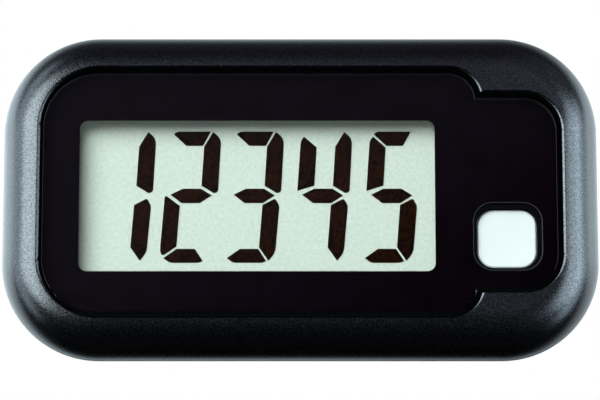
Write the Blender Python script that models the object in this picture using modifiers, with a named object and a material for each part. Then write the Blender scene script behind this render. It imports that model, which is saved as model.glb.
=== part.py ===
"""Pocket pedometer, lying on its back with the display facing up.

+X runs to the right of the display, +Y to its top, +Z out of its face. The origin is the
middle of the footprint, on the surface that the pedometer rests on. Lengths are in metres.
"""

import math

import bmesh
import bpy

MM = 0.001

# Case
case_width = 63.0 * MM
case_height = 34.7 * MM
case_corner_radius = 10.0 * MM
side_wall = 1.3 * MM
back_floor = 1.0 * MM
back_round_width = 3.5 * MM
back_round_height = 5.0 * MM
rim_crown_height = 4.4 * MM
rim_crown_width = 3.75 * MM
parting_land = 0.1 * MM
rim_width = 3.92 * MM
deck_thickness = 0.9 * MM
lip_height = 1.0 * MM
lip_thickness = 0.5 * MM

# Clearances
fit_gap = 0.3 * MM
film_gap = 0.1 * MM
lip_gap = 0.15 * MM
running_gap = 0.08 * MM
overrun = 1.0 * MM
embed = 0.4 * MM

# Window lens and its printed mask
button_bay_length = 8.53 * MM
button_bay_step = 2.67 * MM
button_bay_radius = 4.1 * MM
lens_edge_gap = 0.62 * MM
lens_drop = 0.95 * MM
lens_thickness = 1.0 * MM
lens_chamfer = 0.2 * MM
mask_thickness = 0.1 * MM

# Display
window_left_margin = 8.0 * MM
window_right_margin = 17.34 * MM
window_top_margin = 9.365 * MM
window_bottom_margin = 9.085 * MM
window_corner_radius = 0.9 * MM
display_air_gap = 0.78 * MM
deck_opening_margin = 1.0 * MM
polariser_margin = 0.6 * MM
polariser_thickness = 0.12 * MM
glass_margin_x = 1.65 * MM
glass_margin_y = 1.45 * MM
glass_thickness = 0.6 * MM
glass_ledge = 1.2 * MM
crystal_thickness = 0.1 * MM
segment_relief = 0.05 * MM
reflector_thickness = 0.1 * MM
tray_floor = 0.4 * MM
tray_wall = 0.5 * MM
tray_gap = 0.15 * MM
tray_corner_radius = 0.5 * MM
connector_width = 0.9 * MM
connector_length = 36.0 * MM

# Digits of the display
digit_top_margin = 0.82 * MM
digit_bottom_margin = 1.24 * MM
segment_width = 1.55 * MM
segment_gap = 0.18 * MM
digit_slant_share = 0.075
digit_width_share = 0.143
digit_right_shares = (0.215, 0.398, 0.574, 0.766, 0.96)
shown_digits = "12345"
digit_segments = {
    "1": "bc",
    "2": "abged",
    "3": "abgcd",
    "4": "fgbc",
    "5": "afgcd",
}

# Mode button
button_width = 6.2 * MM
button_corner_radius = 1.5 * MM
button_side_distance = 9.75 * MM
button_bottom_distance = 12.63 * MM
button_drop = 1.7 * MM
button_height = 0.8 * MM
button_edge = 0.15 * MM
button_flange = 0.75 * MM
button_flange_thickness = 0.4 * MM
button_lens_gap = 0.6 * MM
button_case_gap = 0.35 * MM
button_guide_wall = 0.6 * MM
button_guide_drop = 0.9 * MM

# Key switch under the button
switch_base_width = 4.4 * MM
switch_base_thickness = 0.35 * MM
switch_frame_wall = 0.15 * MM
dome_radius = 1.6 * MM
dome_rise = 0.25 * MM
dome_thickness = 0.1 * MM
plunger_radius = 0.8 * MM
plunger_shoulder = 0.35 * MM
plunger_shoulder_height = 0.15 * MM

# Circuit board and what is soldered to it
board_thickness = 0.6 * MM
board_edge_gap = 1.0 * MM
board_corner_radius = 3.0 * MM
board_post_radius = 1.4 * MM
board_post_inset = 1.7 * MM
board_post_y = 4.0 * MM
board_screw_radius = 0.5 * MM
board_screw_head_radius = 1.05 * MM
board_screw_head_height = 0.7 * MM
board_screw_length = 2.6 * MM
processor_width = 5.0 * MM
processor_height = 0.9 * MM
processor_side_distance = 14.7 * MM
processor_y = 4.8 * MM
sensor_width = 3.0 * MM
sensor_height = 0.85 * MM
sensor_side_distance = 14.7 * MM
sensor_y = -4.2 * MM
chip_corner_radius = 0.2 * MM
crystal_can_radius = 1.0 * MM
crystal_can_length = 6.0 * MM
crystal_can_side_distance = 8.5 * MM
crystal_can_inset = 2.0 * MM
chip_part_length = 1.6 * MM
chip_part_width = 0.8 * MM
capacitor_height = 0.8 * MM
resistor_height = 0.45 * MM
capacitor_side_distance = 9.7 * MM
resistor_side_distance = 6.9 * MM
chip_part_first_y = 3.4 * MM
chip_part_pitch = 1.9 * MM
chip_part_count = 3

# Coin cell, 20 mm across and 3.2 mm high
cell_radius = 10.0 * MM
cell_height = 3.2 * MM
cell_x = -6.0 * MM
cell_wall = 0.25 * MM
cell_rim_drop = 0.15 * MM
gasket_thickness = 0.5 * MM
gasket_gap = 0.1 * MM
pellet_gap = 0.4 * MM
cell_floor_gap = 0.2 * MM
cell_side_gap = 0.35 * MM
well_wall = 0.9 * MM
cell_board_gap = 0.5 * MM

# Battery contacts
contact_thickness = 0.15 * MM
contact_width = 3.6 * MM
contact_foot = 3.2 * MM
contact_leg = 2.4 * MM
contact_dip = 0.12 * MM
contact_slot_gap = 0.5 * MM
leaf_foot = 2.0 * MM
leaf_pad = 2.0 * MM

# Battery cover and its captive screw
cover_thickness = 0.8 * MM
cover_recess = 0.1 * MM
cover_gap = 0.15 * MM
cover_margin = 1.6 * MM
cover_tab_radius = 3.4 * MM
cover_screw_reach = 14.2 * MM
ledge_thickness = 0.7 * MM
ledge_margin = 1.0 * MM
cover_boss_radius = 2.4 * MM
cover_screw_radius = 0.7 * MM
cover_screw_head_radius = 1.6 * MM
cover_screw_head_height = 0.38 * MM
cover_screw_depth = 2.3 * MM
cover_head_drop = 0.05 * MM
washer_radius = 1.3 * MM
washer_thickness = 0.3 * MM
washer_recess = 0.2 * MM

# Case screws
case_post_side_distance = 10.0 * MM
case_post_end_distance = 5.15 * MM
front_post_radius = 1.5 * MM
back_post_radius = 1.9 * MM
post_seam_drop = 0.2 * MM
case_screw_radius = 0.55 * MM
case_screw_head_radius = 1.15 * MM
case_screw_head_height = 0.9 * MM
case_screw_head_drop = 0.5 * MM
case_screw_engagement = 2.5 * MM
case_screw_hole_gap = 0.1 * MM
screw_tip = 0.2 * MM
screw_edge = 0.12 * MM
cross_depth_share = 0.6
cross_reach_share = 0.62
cross_width_share = 0.26
cross_tip_share = 0.7

# Facets
corner_steps = 8
round_steps = 24
small_steps = 4
screw_steps = 14
crown_steps = 6
back_round_steps = 4

weld_distance = 0.001 * MM
crease_angle = math.radians(35.0)

# Heights, from the resting surface up: the stack of cell, board, display and lens
cover_low_z = cover_recess
cover_high_z = cover_low_z + cover_thickness
ledge_low_z = cover_high_z + film_gap
ledge_high_z = ledge_low_z + ledge_thickness
cell_low_z = cover_high_z + cell_floor_gap
cell_high_z = cell_low_z + cell_height
board_low_z = cell_high_z + cell_board_gap
board_high_z = board_low_z + board_thickness
tray_low_z = board_high_z + film_gap
tray_floor_z = tray_low_z + tray_floor
reflector_low_z = tray_floor_z + film_gap
rear_glass_low_z = reflector_low_z + reflector_thickness + film_gap
rear_glass_high_z = rear_glass_low_z + glass_thickness
crystal_low_z = rear_glass_high_z + film_gap
crystal_high_z = crystal_low_z + crystal_thickness
front_glass_low_z = crystal_high_z + segment_relief + film_gap
front_glass_high_z = front_glass_low_z + glass_thickness
polariser_low_z = front_glass_high_z + film_gap
polariser_high_z = polariser_low_z + polariser_thickness
deck_top_z = polariser_high_z + display_air_gap
deck_bottom_z = deck_top_z - deck_thickness
mask_bottom_z = deck_top_z + film_gap
mask_top_z = mask_bottom_z + mask_thickness
lens_bottom_z = mask_top_z + film_gap
lens_top_z = lens_bottom_z + lens_thickness
case_depth = lens_top_z + lens_drop
split_z = case_depth - rim_crown_height - parting_land
tray_high_z = deck_bottom_z - fit_gap
button_high_z = lens_top_z - button_drop
flange_high_z = button_high_z - button_height
flange_low_z = flange_high_z - button_flange_thickness
switch_low_z = board_high_z + film_gap
dome_low_z = switch_low_z + switch_base_thickness + film_gap
plunger_low_z = dome_low_z + dome_rise + film_gap
plunger_high_z = flange_low_z - film_gap
switch_frame_high_z = plunger_low_z + plunger_shoulder_height + film_gap + switch_frame_wall
front_post_low_z = board_low_z
back_post_high_z = front_post_low_z - post_seam_drop
case_screw_head_low_z = case_screw_head_drop
case_screw_head_high_z = case_screw_head_low_z + case_screw_head_height
case_screw_tip_z = front_post_low_z + case_screw_engagement

# Plan sizes and places that follow
case_half_x = case_width / 2
case_half_y = case_height / 2
window_width = case_width - window_left_margin - window_right_margin
window_height = case_height - window_top_margin - window_bottom_margin
window_half_x = window_width / 2
window_half_y = window_height / 2
window_x = (window_left_margin - window_right_margin) / 2
window_y = (window_bottom_margin - window_top_margin) / 2
digit_height = window_height - digit_top_margin - digit_bottom_margin
digit_width = window_width * digit_width_share
glass_half_x = window_half_x + glass_margin_x
glass_half_y = window_half_y + glass_margin_y
button_x = case_half_x - button_side_distance
button_y = button_bottom_distance - case_half_y
button_bay_start = case_half_x - rim_width - button_bay_length
case_post_x = case_half_x - case_post_side_distance
case_post_y = case_half_y - case_post_end_distance
board_half_x = case_half_x - side_wall - board_edge_gap
board_half_y = case_post_y - front_post_radius - fit_gap
board_post_x = board_half_x - board_post_inset
processor_x = case_half_x - processor_side_distance
sensor_x = case_half_x - sensor_side_distance
crystal_can_x = case_half_x - crystal_can_side_distance
crystal_can_y = board_half_y - crystal_can_inset
capacitor_x = case_half_x - capacitor_side_distance
resistor_x = case_half_x - resistor_side_distance
cover_screw_x = cell_x + cover_screw_reach
well_radius = cell_radius + cell_side_gap
well_outer_radius = well_radius + well_wall
cover_radius = well_radius + cover_margin


def empty_scene():
    """Remove whatever the file holds."""
    for scene_object in list(bpy.data.objects):
        bpy.data.objects.remove(scene_object, do_unlink=True)


def new_collection(name):
    """Return a new collection, linked to the scene."""
    collection = bpy.data.collections.new(name)
    bpy.context.scene.collection.children.link(collection)
    return collection


empty_scene()
parts = new_collection("pedometer")
cutters = new_collection("pedometer_cutters")


# Outlines

def arc(centre_x, centre_y, radius, start_degrees, end_degrees, steps):
    """Return the points of an arc, ends included."""
    points = []
    for step in range(steps + 1):
        angle = math.radians(start_degrees + (end_degrees - start_degrees) * step / steps)
        points.append((centre_x + radius * math.cos(angle), centre_y + radius * math.sin(angle)))
    return points


def circle(radius, steps=round_steps):
    """Return the points of a full circle round the origin."""
    return arc(0.0, 0.0, radius, 0.0, 360.0, steps)[:-1]


def rounded_rectangle(half_x, half_y, radius, steps=small_steps):
    """Return a rectangle round the origin, with round corners."""
    inner_x = half_x - radius
    inner_y = half_y - radius
    points = arc(inner_x, inner_y, radius, 0.0, 90.0, steps)
    points += arc(-inner_x, inner_y, radius, 90.0, 180.0, steps)
    points += arc(-inner_x, -inner_y, radius, 180.0, 270.0, steps)
    points += arc(inner_x, -inner_y, radius, 270.0, 360.0, steps)
    return points


def case_outline(inset):
    """Return the case's plan outline, drawn in by inset."""
    radius = case_corner_radius - inset
    return rounded_rectangle(case_half_x - inset, case_half_y - inset, radius, corner_steps)


def bay_outline(inset):
    """Return the window's outline: a wide plate that steps in round the button."""
    margin = rim_width + inset
    left = case_half_x - margin
    top = case_half_y - margin
    shoulder = button_bay_start - inset
    step_y = top - button_bay_step
    shoulder_centre = case_half_y - rim_width - button_bay_step
    left_radius = case_corner_radius - margin
    shoulder_radius = button_bay_step - inset
    bay_radius = button_bay_radius - inset
    lower = arc(-left + left_radius, -top + left_radius, left_radius, 180.0, 270.0, corner_steps)
    lower += arc(shoulder - shoulder_radius, -shoulder_centre, shoulder_radius, 270.0, 360.0,
                 small_steps)
    if inset > 0.0:
        lower.append((shoulder, -step_y))
    lower += arc(left - bay_radius, -step_y + bay_radius, bay_radius, 270.0, 360.0, corner_steps)
    upper = [(x, -y) for x, y in reversed(lower)]
    return lower + upper


def cover_outline(inset):
    """Return the battery cover's outline: a disc and a round tab joined by tangents."""
    disc_radius = cover_radius - inset
    tab_radius = cover_tab_radius - inset
    tangent = math.degrees(math.acos((disc_radius - tab_radius) / cover_screw_reach))
    points = arc(0.0, 0.0, disc_radius, tangent, 360.0 - tangent, round_steps)
    points += arc(cover_screw_reach, 0.0, tab_radius, -tangent, tangent, small_steps * 2)
    return points


# Modelling helpers

def finish_mesh(name, mesh, collection, location=(0.0, 0.0, 0.0)):
    """Make an object of a mesh and link it."""
    model = bpy.data.objects.new(name, mesh)
    model.location = location
    collection.objects.link(model)
    return model


def smooth(model):
    """Shade the round faces smooth and keep the sharp edges."""
    model.data.shade_smooth()
    model.data.set_sharp_from_angle(angle=crease_angle)


def slab(name, loops, low_z, high_z, centre=(0.0, 0.0), collection=parts):
    """Extrude a flat outline, with any holes, between two heights."""
    curve = bpy.data.curves.new(name, "CURVE")
    curve.dimensions = "2D"
    curve.fill_mode = "BOTH"
    curve.extrude = (high_z - low_z) / 2
    for loop in loops:
        spline = curve.splines.new("POLY")
        spline.points.add(len(loop) - 1)
        for point, (x, y) in zip(spline.points, loop):
            point.co = (x, y, 0.0, 1.0)
        spline.use_cyclic_u = True
    outline = bpy.data.objects.new(name + "_outline", curve)
    outline.location = (centre[0], centre[1], (low_z + high_z) / 2)
    collection.objects.link(outline)
    bpy.context.view_layer.update()
    evaluated = outline.evaluated_get(bpy.context.evaluated_depsgraph_get())
    mesh = bpy.data.meshes.new_from_object(evaluated)
    mesh.name = name
    welded = bmesh.new()
    welded.from_mesh(mesh)
    bmesh.ops.remove_doubles(welded, verts=welded.verts, dist=weld_distance)
    welded.to_mesh(mesh)
    welded.free()
    mesh.materials.clear()
    model = bpy.data.objects.new(name, mesh)
    model.matrix_world = outline.matrix_world
    collection.objects.link(model)
    bpy.data.objects.remove(outline, do_unlink=True)
    smooth(model)
    return model


def turned(name, profile, location, closed=False, steps=round_steps):
    """Turn a profile of (radius, height) points round a vertical axis."""
    mesh = bpy.data.meshes.new(name)
    edges = [(index, index + 1) for index in range(len(profile) - 1)]
    if closed:
        edges.append((len(profile) - 1, 0))
    mesh.from_pydata([(radius, 0.0, height) for radius, height in profile], edges, [])
    model = finish_mesh(name, mesh, parts, location)
    screw = model.modifiers.new("Turn", "SCREW")
    screw.axis = "Z"
    screw.steps = steps
    screw.render_steps = steps
    screw.use_merge_vertices = True
    screw.merge_threshold = weld_distance
    screw.use_smooth_shade = True
    return model


def rod(name, radius, low_z, high_z, centre, steps=round_steps, collection=cutters):
    """Make an upright cylinder between two heights."""
    mesh = bpy.data.meshes.new(name)
    shape = bmesh.new()
    bmesh.ops.create_cone(shape, cap_ends=True, segments=steps, radius1=radius, radius2=radius,
                          depth=high_z - low_z)
    shape.to_mesh(mesh)
    shape.free()
    return finish_mesh(name, mesh, collection, (centre[0], centre[1], (low_z + high_z) / 2))


def break_edges(model, width, segments):
    """Bevel the sharp edges of a model."""
    bevel = model.modifiers.new("Edges", "BEVEL")
    bevel.width = width
    bevel.segments = segments
    bevel.limit_method = "ANGLE"


def block(name, size, centre, edge=0.0, collection=parts):
    """Make a box, with its edges broken when edge is given."""
    mesh = bpy.data.meshes.new(name)
    shape = bmesh.new()
    bmesh.ops.create_cube(shape, size=1.0)
    bmesh.ops.scale(shape, vec=size, verts=shape.verts)
    shape.to_mesh(mesh)
    shape.free()
    model = finish_mesh(name, mesh, collection, centre)
    if edge > 0.0:
        break_edges(model, edge, 1)
    return model


def rounded_form(name, half_x, half_y, radius, low_z, high_z, edge_width, edge_height, up,
                 edge_steps, collection=parts):
    """Make a round-cornered block whose upper or lower edge is an elliptical round."""
    squash = edge_width / edge_height
    height = (high_z - low_z) * squash
    edge_z = height / 2 if up else -height / 2
    mesh = bpy.data.meshes.new(name)
    shape = bmesh.new()
    bmesh.ops.create_cube(shape, size=1.0)
    bmesh.ops.scale(shape, vec=(half_x * 2, half_y * 2, height), verts=shape.verts)
    uprights = [edge for edge in shape.edges
                if abs(edge.verts[0].co.z - edge.verts[1].co.z) > height / 2]
    bmesh.ops.bevel(shape, geom=uprights, offset=radius, segments=corner_steps, profile=0.5,
                    affect="EDGES", clamp_overlap=False)
    border = [edge for edge in shape.edges
              if all(abs(vert.co.z - edge_z) < weld_distance for vert in edge.verts)]
    bmesh.ops.bevel(shape, geom=border, offset=edge_width, segments=edge_steps, profile=0.5,
                    affect="EDGES", clamp_overlap=False)
    bmesh.ops.scale(shape, vec=(1.0, 1.0, 1.0 / squash), verts=shape.verts)
    shape.to_mesh(mesh)
    shape.free()
    model = finish_mesh(name, mesh, collection, (0.0, 0.0, (low_z + high_z) / 2))
    smooth(model)
    return model


def bent_strip(name, path, width, thickness, location):
    """Bend a flat strip along a path in its local XZ plane."""
    mesh = bpy.data.meshes.new(name)
    shape = bmesh.new()
    corners = [shape.verts.new((x, -width / 2, z)) for x, z in path]
    edges = [shape.edges.new(pair) for pair in zip(corners, corners[1:])]
    swept = bmesh.ops.extrude_edge_only(shape, edges=edges)["geom"]
    moved = [item for item in swept if isinstance(item, bmesh.types.BMVert)]
    bmesh.ops.translate(shape, vec=(0.0, width, 0.0), verts=moved)
    shape.to_mesh(mesh)
    shape.free()
    model = finish_mesh(name, mesh, parts, location)
    solid = model.modifiers.new("Sheet", "SOLIDIFY")
    solid.thickness = thickness
    solid.offset = 0.0
    solid.use_even_offset = True
    return model


def combine(model, tool, operation):
    """Add a Boolean to a model and put its tool away among the cutters."""
    modifier = model.modifiers.new(tool.name, "BOOLEAN")
    modifier.operation = operation
    modifier.object = tool
    modifier.solver = "EXACT"
    tool.hide_render = True
    tool.display_type = "WIRE"
    if tool.name in parts.objects:
        parts.objects.unlink(tool)
        cutters.objects.link(tool)


def cut(model, tool):
    """Cut a tool's shape out of a model."""
    combine(model, tool, "DIFFERENCE")


def join(model, tool):
    """Fuse a tool's shape to a model."""
    combine(model, tool, "UNION")


def paint(model, colour, roughness, metallic=0.0, alpha=1.0):
    """Give a model its own plain material."""
    material = bpy.data.materials.new(model.name)
    material.use_nodes = True
    shader = material.node_tree.nodes["Principled BSDF"]
    shader.inputs["Base Color"].default_value = (*colour, 1.0)
    shader.inputs["Roughness"].default_value = roughness
    shader.inputs["Metallic"].default_value = metallic
    shader.inputs["Alpha"].default_value = alpha
    material.diffuse_color = (*colour, alpha)
    model.data.materials.clear()
    model.data.materials.append(material)


# Finishes, in linear light

satin_black = (0.012, 0.013, 0.015)
gloss_black = (0.004, 0.003, 0.005)
soft_white = (0.86, 0.85, 0.83)
clear = (0.9, 0.92, 0.93)
pale_green = (0.61, 0.75, 0.66)
board_green = (0.02, 0.12, 0.05)
chip_black = (0.02, 0.02, 0.022)
ceramic_tan = (0.32, 0.2, 0.12)
tin = (0.62, 0.6, 0.56)
steel = (0.55, 0.55, 0.56)
spring_gold = (0.75, 0.56, 0.28)
nylon = (0.7, 0.69, 0.64)
elastomer_grey = (0.09, 0.09, 0.1)


def post_places():
    """Return the four places of the case's screw posts."""
    return [(x, y) for x in (-case_post_x, case_post_x) for y in (-case_post_y, case_post_y)]


def board_post_places():
    """Return the two places of the board's screw posts."""
    return [(-board_post_x, board_post_y), (board_post_x, board_post_y)]


def make_screw(name, centre, head_low_z, head_height, head_radius, shank_radius, tip_z):
    """Make a pan-head screw, head down, with a cross recess in its head."""
    head_high_z = head_low_z + head_height
    profile = [
        (0.0, tip_z),
        (shank_radius - screw_tip, tip_z),
        (shank_radius, tip_z - screw_tip),
        (shank_radius, head_high_z),
        (head_radius, head_high_z),
        (head_radius, head_low_z + screw_edge),
        (head_radius - screw_edge, head_low_z),
        (0.0, head_low_z),
    ]
    screw = turned(name, profile, (centre[0], centre[1], 0.0), steps=screw_steps)
    reach = head_radius * cross_reach_share
    half = head_radius * cross_width_share / 2
    tip = half * cross_tip_share
    cross = [(reach, tip), (half, half), (tip, reach), (-tip, reach), (-half, half),
             (-reach, tip), (-reach, -tip), (-half, -half), (-tip, -reach), (tip, -reach),
             (half, -half), (reach, -tip)]
    recess_high_z = head_low_z + head_height * cross_depth_share
    cut(screw, slab(name + "_recess", [cross], head_low_z - overrun, recess_high_z, centre,
                    cutters))
    paint(screw, steel, 0.35, 1.0)
    return screw


def make_front_case():
    """Make the upper shell: rim, deck, screw posts and button guide."""
    shell = rounded_form("front_case", case_half_x, case_half_y, case_corner_radius,
                         split_z - lip_height, case_depth, rim_crown_width, rim_crown_height, True,
                         crown_steps)
    lip_inset = side_wall - lip_thickness
    cut(shell, slab("lip_trim", [case_outline(-overrun), case_outline(lip_inset)],
                    split_z - lip_height - overrun, split_z, collection=cutters))
    cut(shell, slab("front_cavity", [case_outline(side_wall)], split_z - lip_height - overrun,
                    deck_bottom_z, collection=cutters))
    cut(shell, slab("lens_recess", [bay_outline(0.0)], deck_top_z, case_depth + overrun,
                    collection=cutters))
    for number, place in enumerate(post_places(), 1):
        join(shell, rod(f"front_post_{number}", front_post_radius, front_post_low_z,
                        deck_bottom_z + embed, place))
        cut(shell, rod(f"front_pilot_{number}", case_screw_radius + running_gap,
                       front_post_low_z - overrun, case_screw_tip_z + fit_gap, place))
    for number, place in enumerate(board_post_places(), 1):
        join(shell, rod(f"board_post_{number}", board_post_radius, board_high_z + film_gap,
                        deck_bottom_z + embed, place))
        cut(shell, rod(f"board_pilot_{number}", board_screw_radius + running_gap, board_low_z,
                       board_low_z + board_screw_length, place))
    button_place = (button_x, button_y)
    guide_half = button_width / 2 + button_flange + fit_gap
    guide_outer = guide_half + button_guide_wall
    join(shell, slab("button_guide",
                     [rounded_rectangle(guide_outer, guide_outer, button_corner_radius),
                      rounded_rectangle(guide_half, guide_half, button_corner_radius)],
                     deck_bottom_z - button_guide_drop, deck_bottom_z + embed, button_place,
                     cutters))
    hole_half = button_width / 2 + button_case_gap
    hole_radius = button_corner_radius + button_case_gap
    cut(shell, slab("button_hole", [rounded_rectangle(hole_half, hole_half, hole_radius)],
                    deck_bottom_z - overrun / 2, deck_top_z + overrun, button_place, cutters))
    opening = rounded_rectangle(window_half_x + deck_opening_margin,
                                window_half_y + deck_opening_margin, window_corner_radius)
    cut(shell, slab("display_opening", [opening], deck_bottom_z - overrun / 2,
                    deck_top_z + overrun, (window_x, window_y), cutters))
    paint(shell, satin_black, 0.42)


def make_back_case():
    """Make the lower shell: battery well, cover ledge, screw posts and rebate."""
    shell = rounded_form("back_case", case_half_x, case_half_y, case_corner_radius, 0.0, split_z,
                         back_round_width, back_round_height, False, back_round_steps)
    cut(shell, rounded_form("back_cavity", case_half_x - side_wall, case_half_y - side_wall,
                            case_corner_radius - side_wall, back_floor, split_z + overrun,
                            back_round_width - side_wall, back_round_height - back_floor, False,
                            back_round_steps, cutters))
    rebate_inset = side_wall - lip_thickness - lip_gap
    cut(shell, slab("lip_rebate", [case_outline(rebate_inset)], split_z - lip_height - lip_gap,
                    split_z + overrun, collection=cutters))
    join(shell, slab("cover_ledge", [cover_outline(-ledge_margin)], back_floor - embed,
                     ledge_high_z, (cell_x, 0.0), cutters))
    join(shell, rod("battery_well", well_outer_radius, back_floor - embed, cell_high_z,
                    (cell_x, 0.0), round_steps * 2))
    join(shell, rod("cover_boss", cover_boss_radius, back_floor - embed, cell_high_z,
                    (cover_screw_x, 0.0)))
    for number, place in enumerate(post_places(), 1):
        join(shell, rod(f"back_post_{number}", back_post_radius, back_floor - embed,
                        back_post_high_z, place))
        cut(shell, rod(f"back_bore_{number}", case_screw_radius + case_screw_hole_gap,
                       -overrun, back_post_high_z + overrun, place))
        cut(shell, rod(f"head_bore_{number}", case_screw_head_radius + cover_gap, -overrun,
                       case_screw_head_high_z + film_gap, place))
    cut(shell, rod("cell_bore", well_radius, -overrun, cell_high_z + overrun, (cell_x, 0.0),
                   round_steps * 2))
    cut(shell, slab("cover_seat", [cover_outline(0.0)], -overrun, ledge_low_z, (cell_x, 0.0),
                    cutters))
    cut(shell, rod("cover_screw_bore", cover_screw_radius + running_gap, -overrun,
                   ledge_low_z + cover_screw_depth + fit_gap, (cover_screw_x, 0.0)))
    cut(shell, rod("washer_bore", washer_radius + washer_recess, -overrun,
                   ledge_low_z + washer_thickness + washer_recess, (cover_screw_x, 0.0)))
    slot_size = (well_wall * 2 + cell_side_gap * 2, contact_width + contact_slot_gap * 2,
                 cell_high_z - ledge_high_z + overrun)
    slot_centre = (cell_x - well_outer_radius, 0.0, ledge_high_z + slot_size[2] / 2 + film_gap)
    cut(shell, block("contact_slot", slot_size, slot_centre, collection=cutters))
    paint(shell, satin_black, 0.45)


def make_window():
    """Make the clear lens and the printed mask behind it."""
    place = (button_x, button_y)
    hole_half = button_width / 2 + button_lens_gap
    hole_radius = button_corner_radius + button_lens_gap
    hole = [(x + place[0], y + place[1])
            for x, y in rounded_rectangle(hole_half, hole_half, hole_radius)]
    lens = slab("window_lens", [bay_outline(lens_edge_gap), hole], lens_bottom_z, lens_top_z)
    break_edges(lens, lens_chamfer, 1)
    paint(lens, clear, 0.03, alpha=0.35)
    window = [(x + window_x, y + window_y)
              for x, y in rounded_rectangle(window_half_x, window_half_y, window_corner_radius)]
    mask_hole_half = hole_half + film_gap
    mask_hole = [(x + place[0], y + place[1])
                 for x, y in rounded_rectangle(mask_hole_half, mask_hole_half, hole_radius)]
    mask = slab("window_mask", [bay_outline(lens_edge_gap + film_gap), window, mask_hole],
                mask_bottom_z, mask_top_z)
    paint(mask, gloss_black, 0.3)


def make_button():
    """Make the white button: a cap on a wider flange that keeps it in the case."""
    half = button_width / 2
    place = (button_x, button_y)
    button = slab("mode_button", [rounded_rectangle(half, half, button_corner_radius)],
                  flange_high_z - embed / 2, button_high_z, place)
    flange_half = half + button_flange
    flange_radius = button_corner_radius + button_flange
    break_edges(button, button_edge, 2)
    join(button, slab("button_flange", [rounded_rectangle(flange_half, flange_half,
                                                          flange_radius)],
                      flange_low_z, flange_high_z, place, cutters))
    paint(button, soft_white, 0.4)


def make_switch():
    """Make the key switch: base, snap dome, plunger and frame."""
    place = (button_x, button_y)
    half = switch_base_width / 2
    corner = switch_frame_wall * 2
    base = slab("switch_base", [rounded_rectangle(half, half, corner)], switch_low_z,
                switch_low_z + switch_base_thickness, place)
    paint(base, chip_black, 0.5)
    inner_rise = dome_rise - dome_thickness
    outer_arc = []
    inner_arc = []
    for step in range(small_steps + 1):
        share = step / small_steps
        drop = share * share
        outer_arc.append((dome_radius * share, dome_low_z + dome_rise * (1.0 - drop)))
        inner_arc.append(((dome_radius - dome_thickness) * share,
                          dome_low_z + inner_rise * (1.0 - drop)))
    outer_arc[-1] = (dome_radius, dome_low_z)
    dome = turned("switch_dome", outer_arc + list(reversed(inner_arc)), (*place, 0.0))
    paint(dome, steel, 0.3, 1.0)
    shoulder_radius = plunger_radius + plunger_shoulder
    shoulder_high_z = plunger_low_z + plunger_shoulder_height
    plunger = turned("switch_plunger", [
        (0.0, plunger_high_z), (plunger_radius, plunger_high_z),
        (plunger_radius, shoulder_high_z), (shoulder_radius, shoulder_high_z),
        (shoulder_radius, plunger_low_z), (0.0, plunger_low_z)], (*place, 0.0), steps=16)
    paint(plunger, nylon, 0.5)
    pocket_half = half + film_gap
    frame_half = pocket_half + switch_frame_wall
    frame = slab("switch_frame", [rounded_rectangle(frame_half, frame_half, corner),
                                  circle(plunger_radius + running_gap, 16)],
                 switch_low_z + film_gap, switch_frame_high_z, place)
    cut(frame, slab("switch_pocket", [rounded_rectangle(pocket_half, pocket_half, corner)],
                    switch_low_z - overrun, switch_frame_high_z - switch_frame_wall, place,
                    cutters))
    paint(frame, tin, 0.3, 1.0)


def segment_outline(letter, width, height):
    """Return one bar of a seven-segment digit, in a cell that starts at the origin."""
    bar = segment_width
    gap = segment_gap
    middle = height / 2
    right = width
    top_bar = [(gap, height), (right - gap, height), (right - bar, height - bar),
               (bar, height - bar)]
    upper_right = [(right, height - gap), (right, middle + gap), (right - gap, middle + gap),
                   (right - bar, middle + bar / 2 + gap), (right - bar, height - bar - gap)]
    middle_bar = [(gap + gap, middle), (bar, middle + bar / 2), (right - bar, middle + bar / 2),
                  (right - gap - gap, middle), (right - bar, middle - bar / 2),
                  (bar, middle - bar / 2)]
    outlines = {
        "a": top_bar,
        "b": upper_right,
        "c": [(x, height - y) for x, y in upper_right],
        "d": [(x, height - y) for x, y in top_bar],
        "e": [(width - x, height - y) for x, y in upper_right],
        "f": [(width - x, y) for x, y in upper_right],
        "g": middle_bar,
    }
    return outlines[letter]


def digit_bars():
    """Return the outlines of every dark bar on the display, round its centre."""
    bars = []
    start_y = digit_bottom_margin - window_half_y
    for digit, right_share in zip(shown_digits, digit_right_shares):
        start_x = window_width * right_share - window_half_x - digit_width
        for letter in digit_segments[digit]:
            bars.append([(start_x + x + (y - digit_height) * digit_slant_share, start_y + y)
                         for x, y in segment_outline(letter, digit_width, digit_height)])
    return bars


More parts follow.
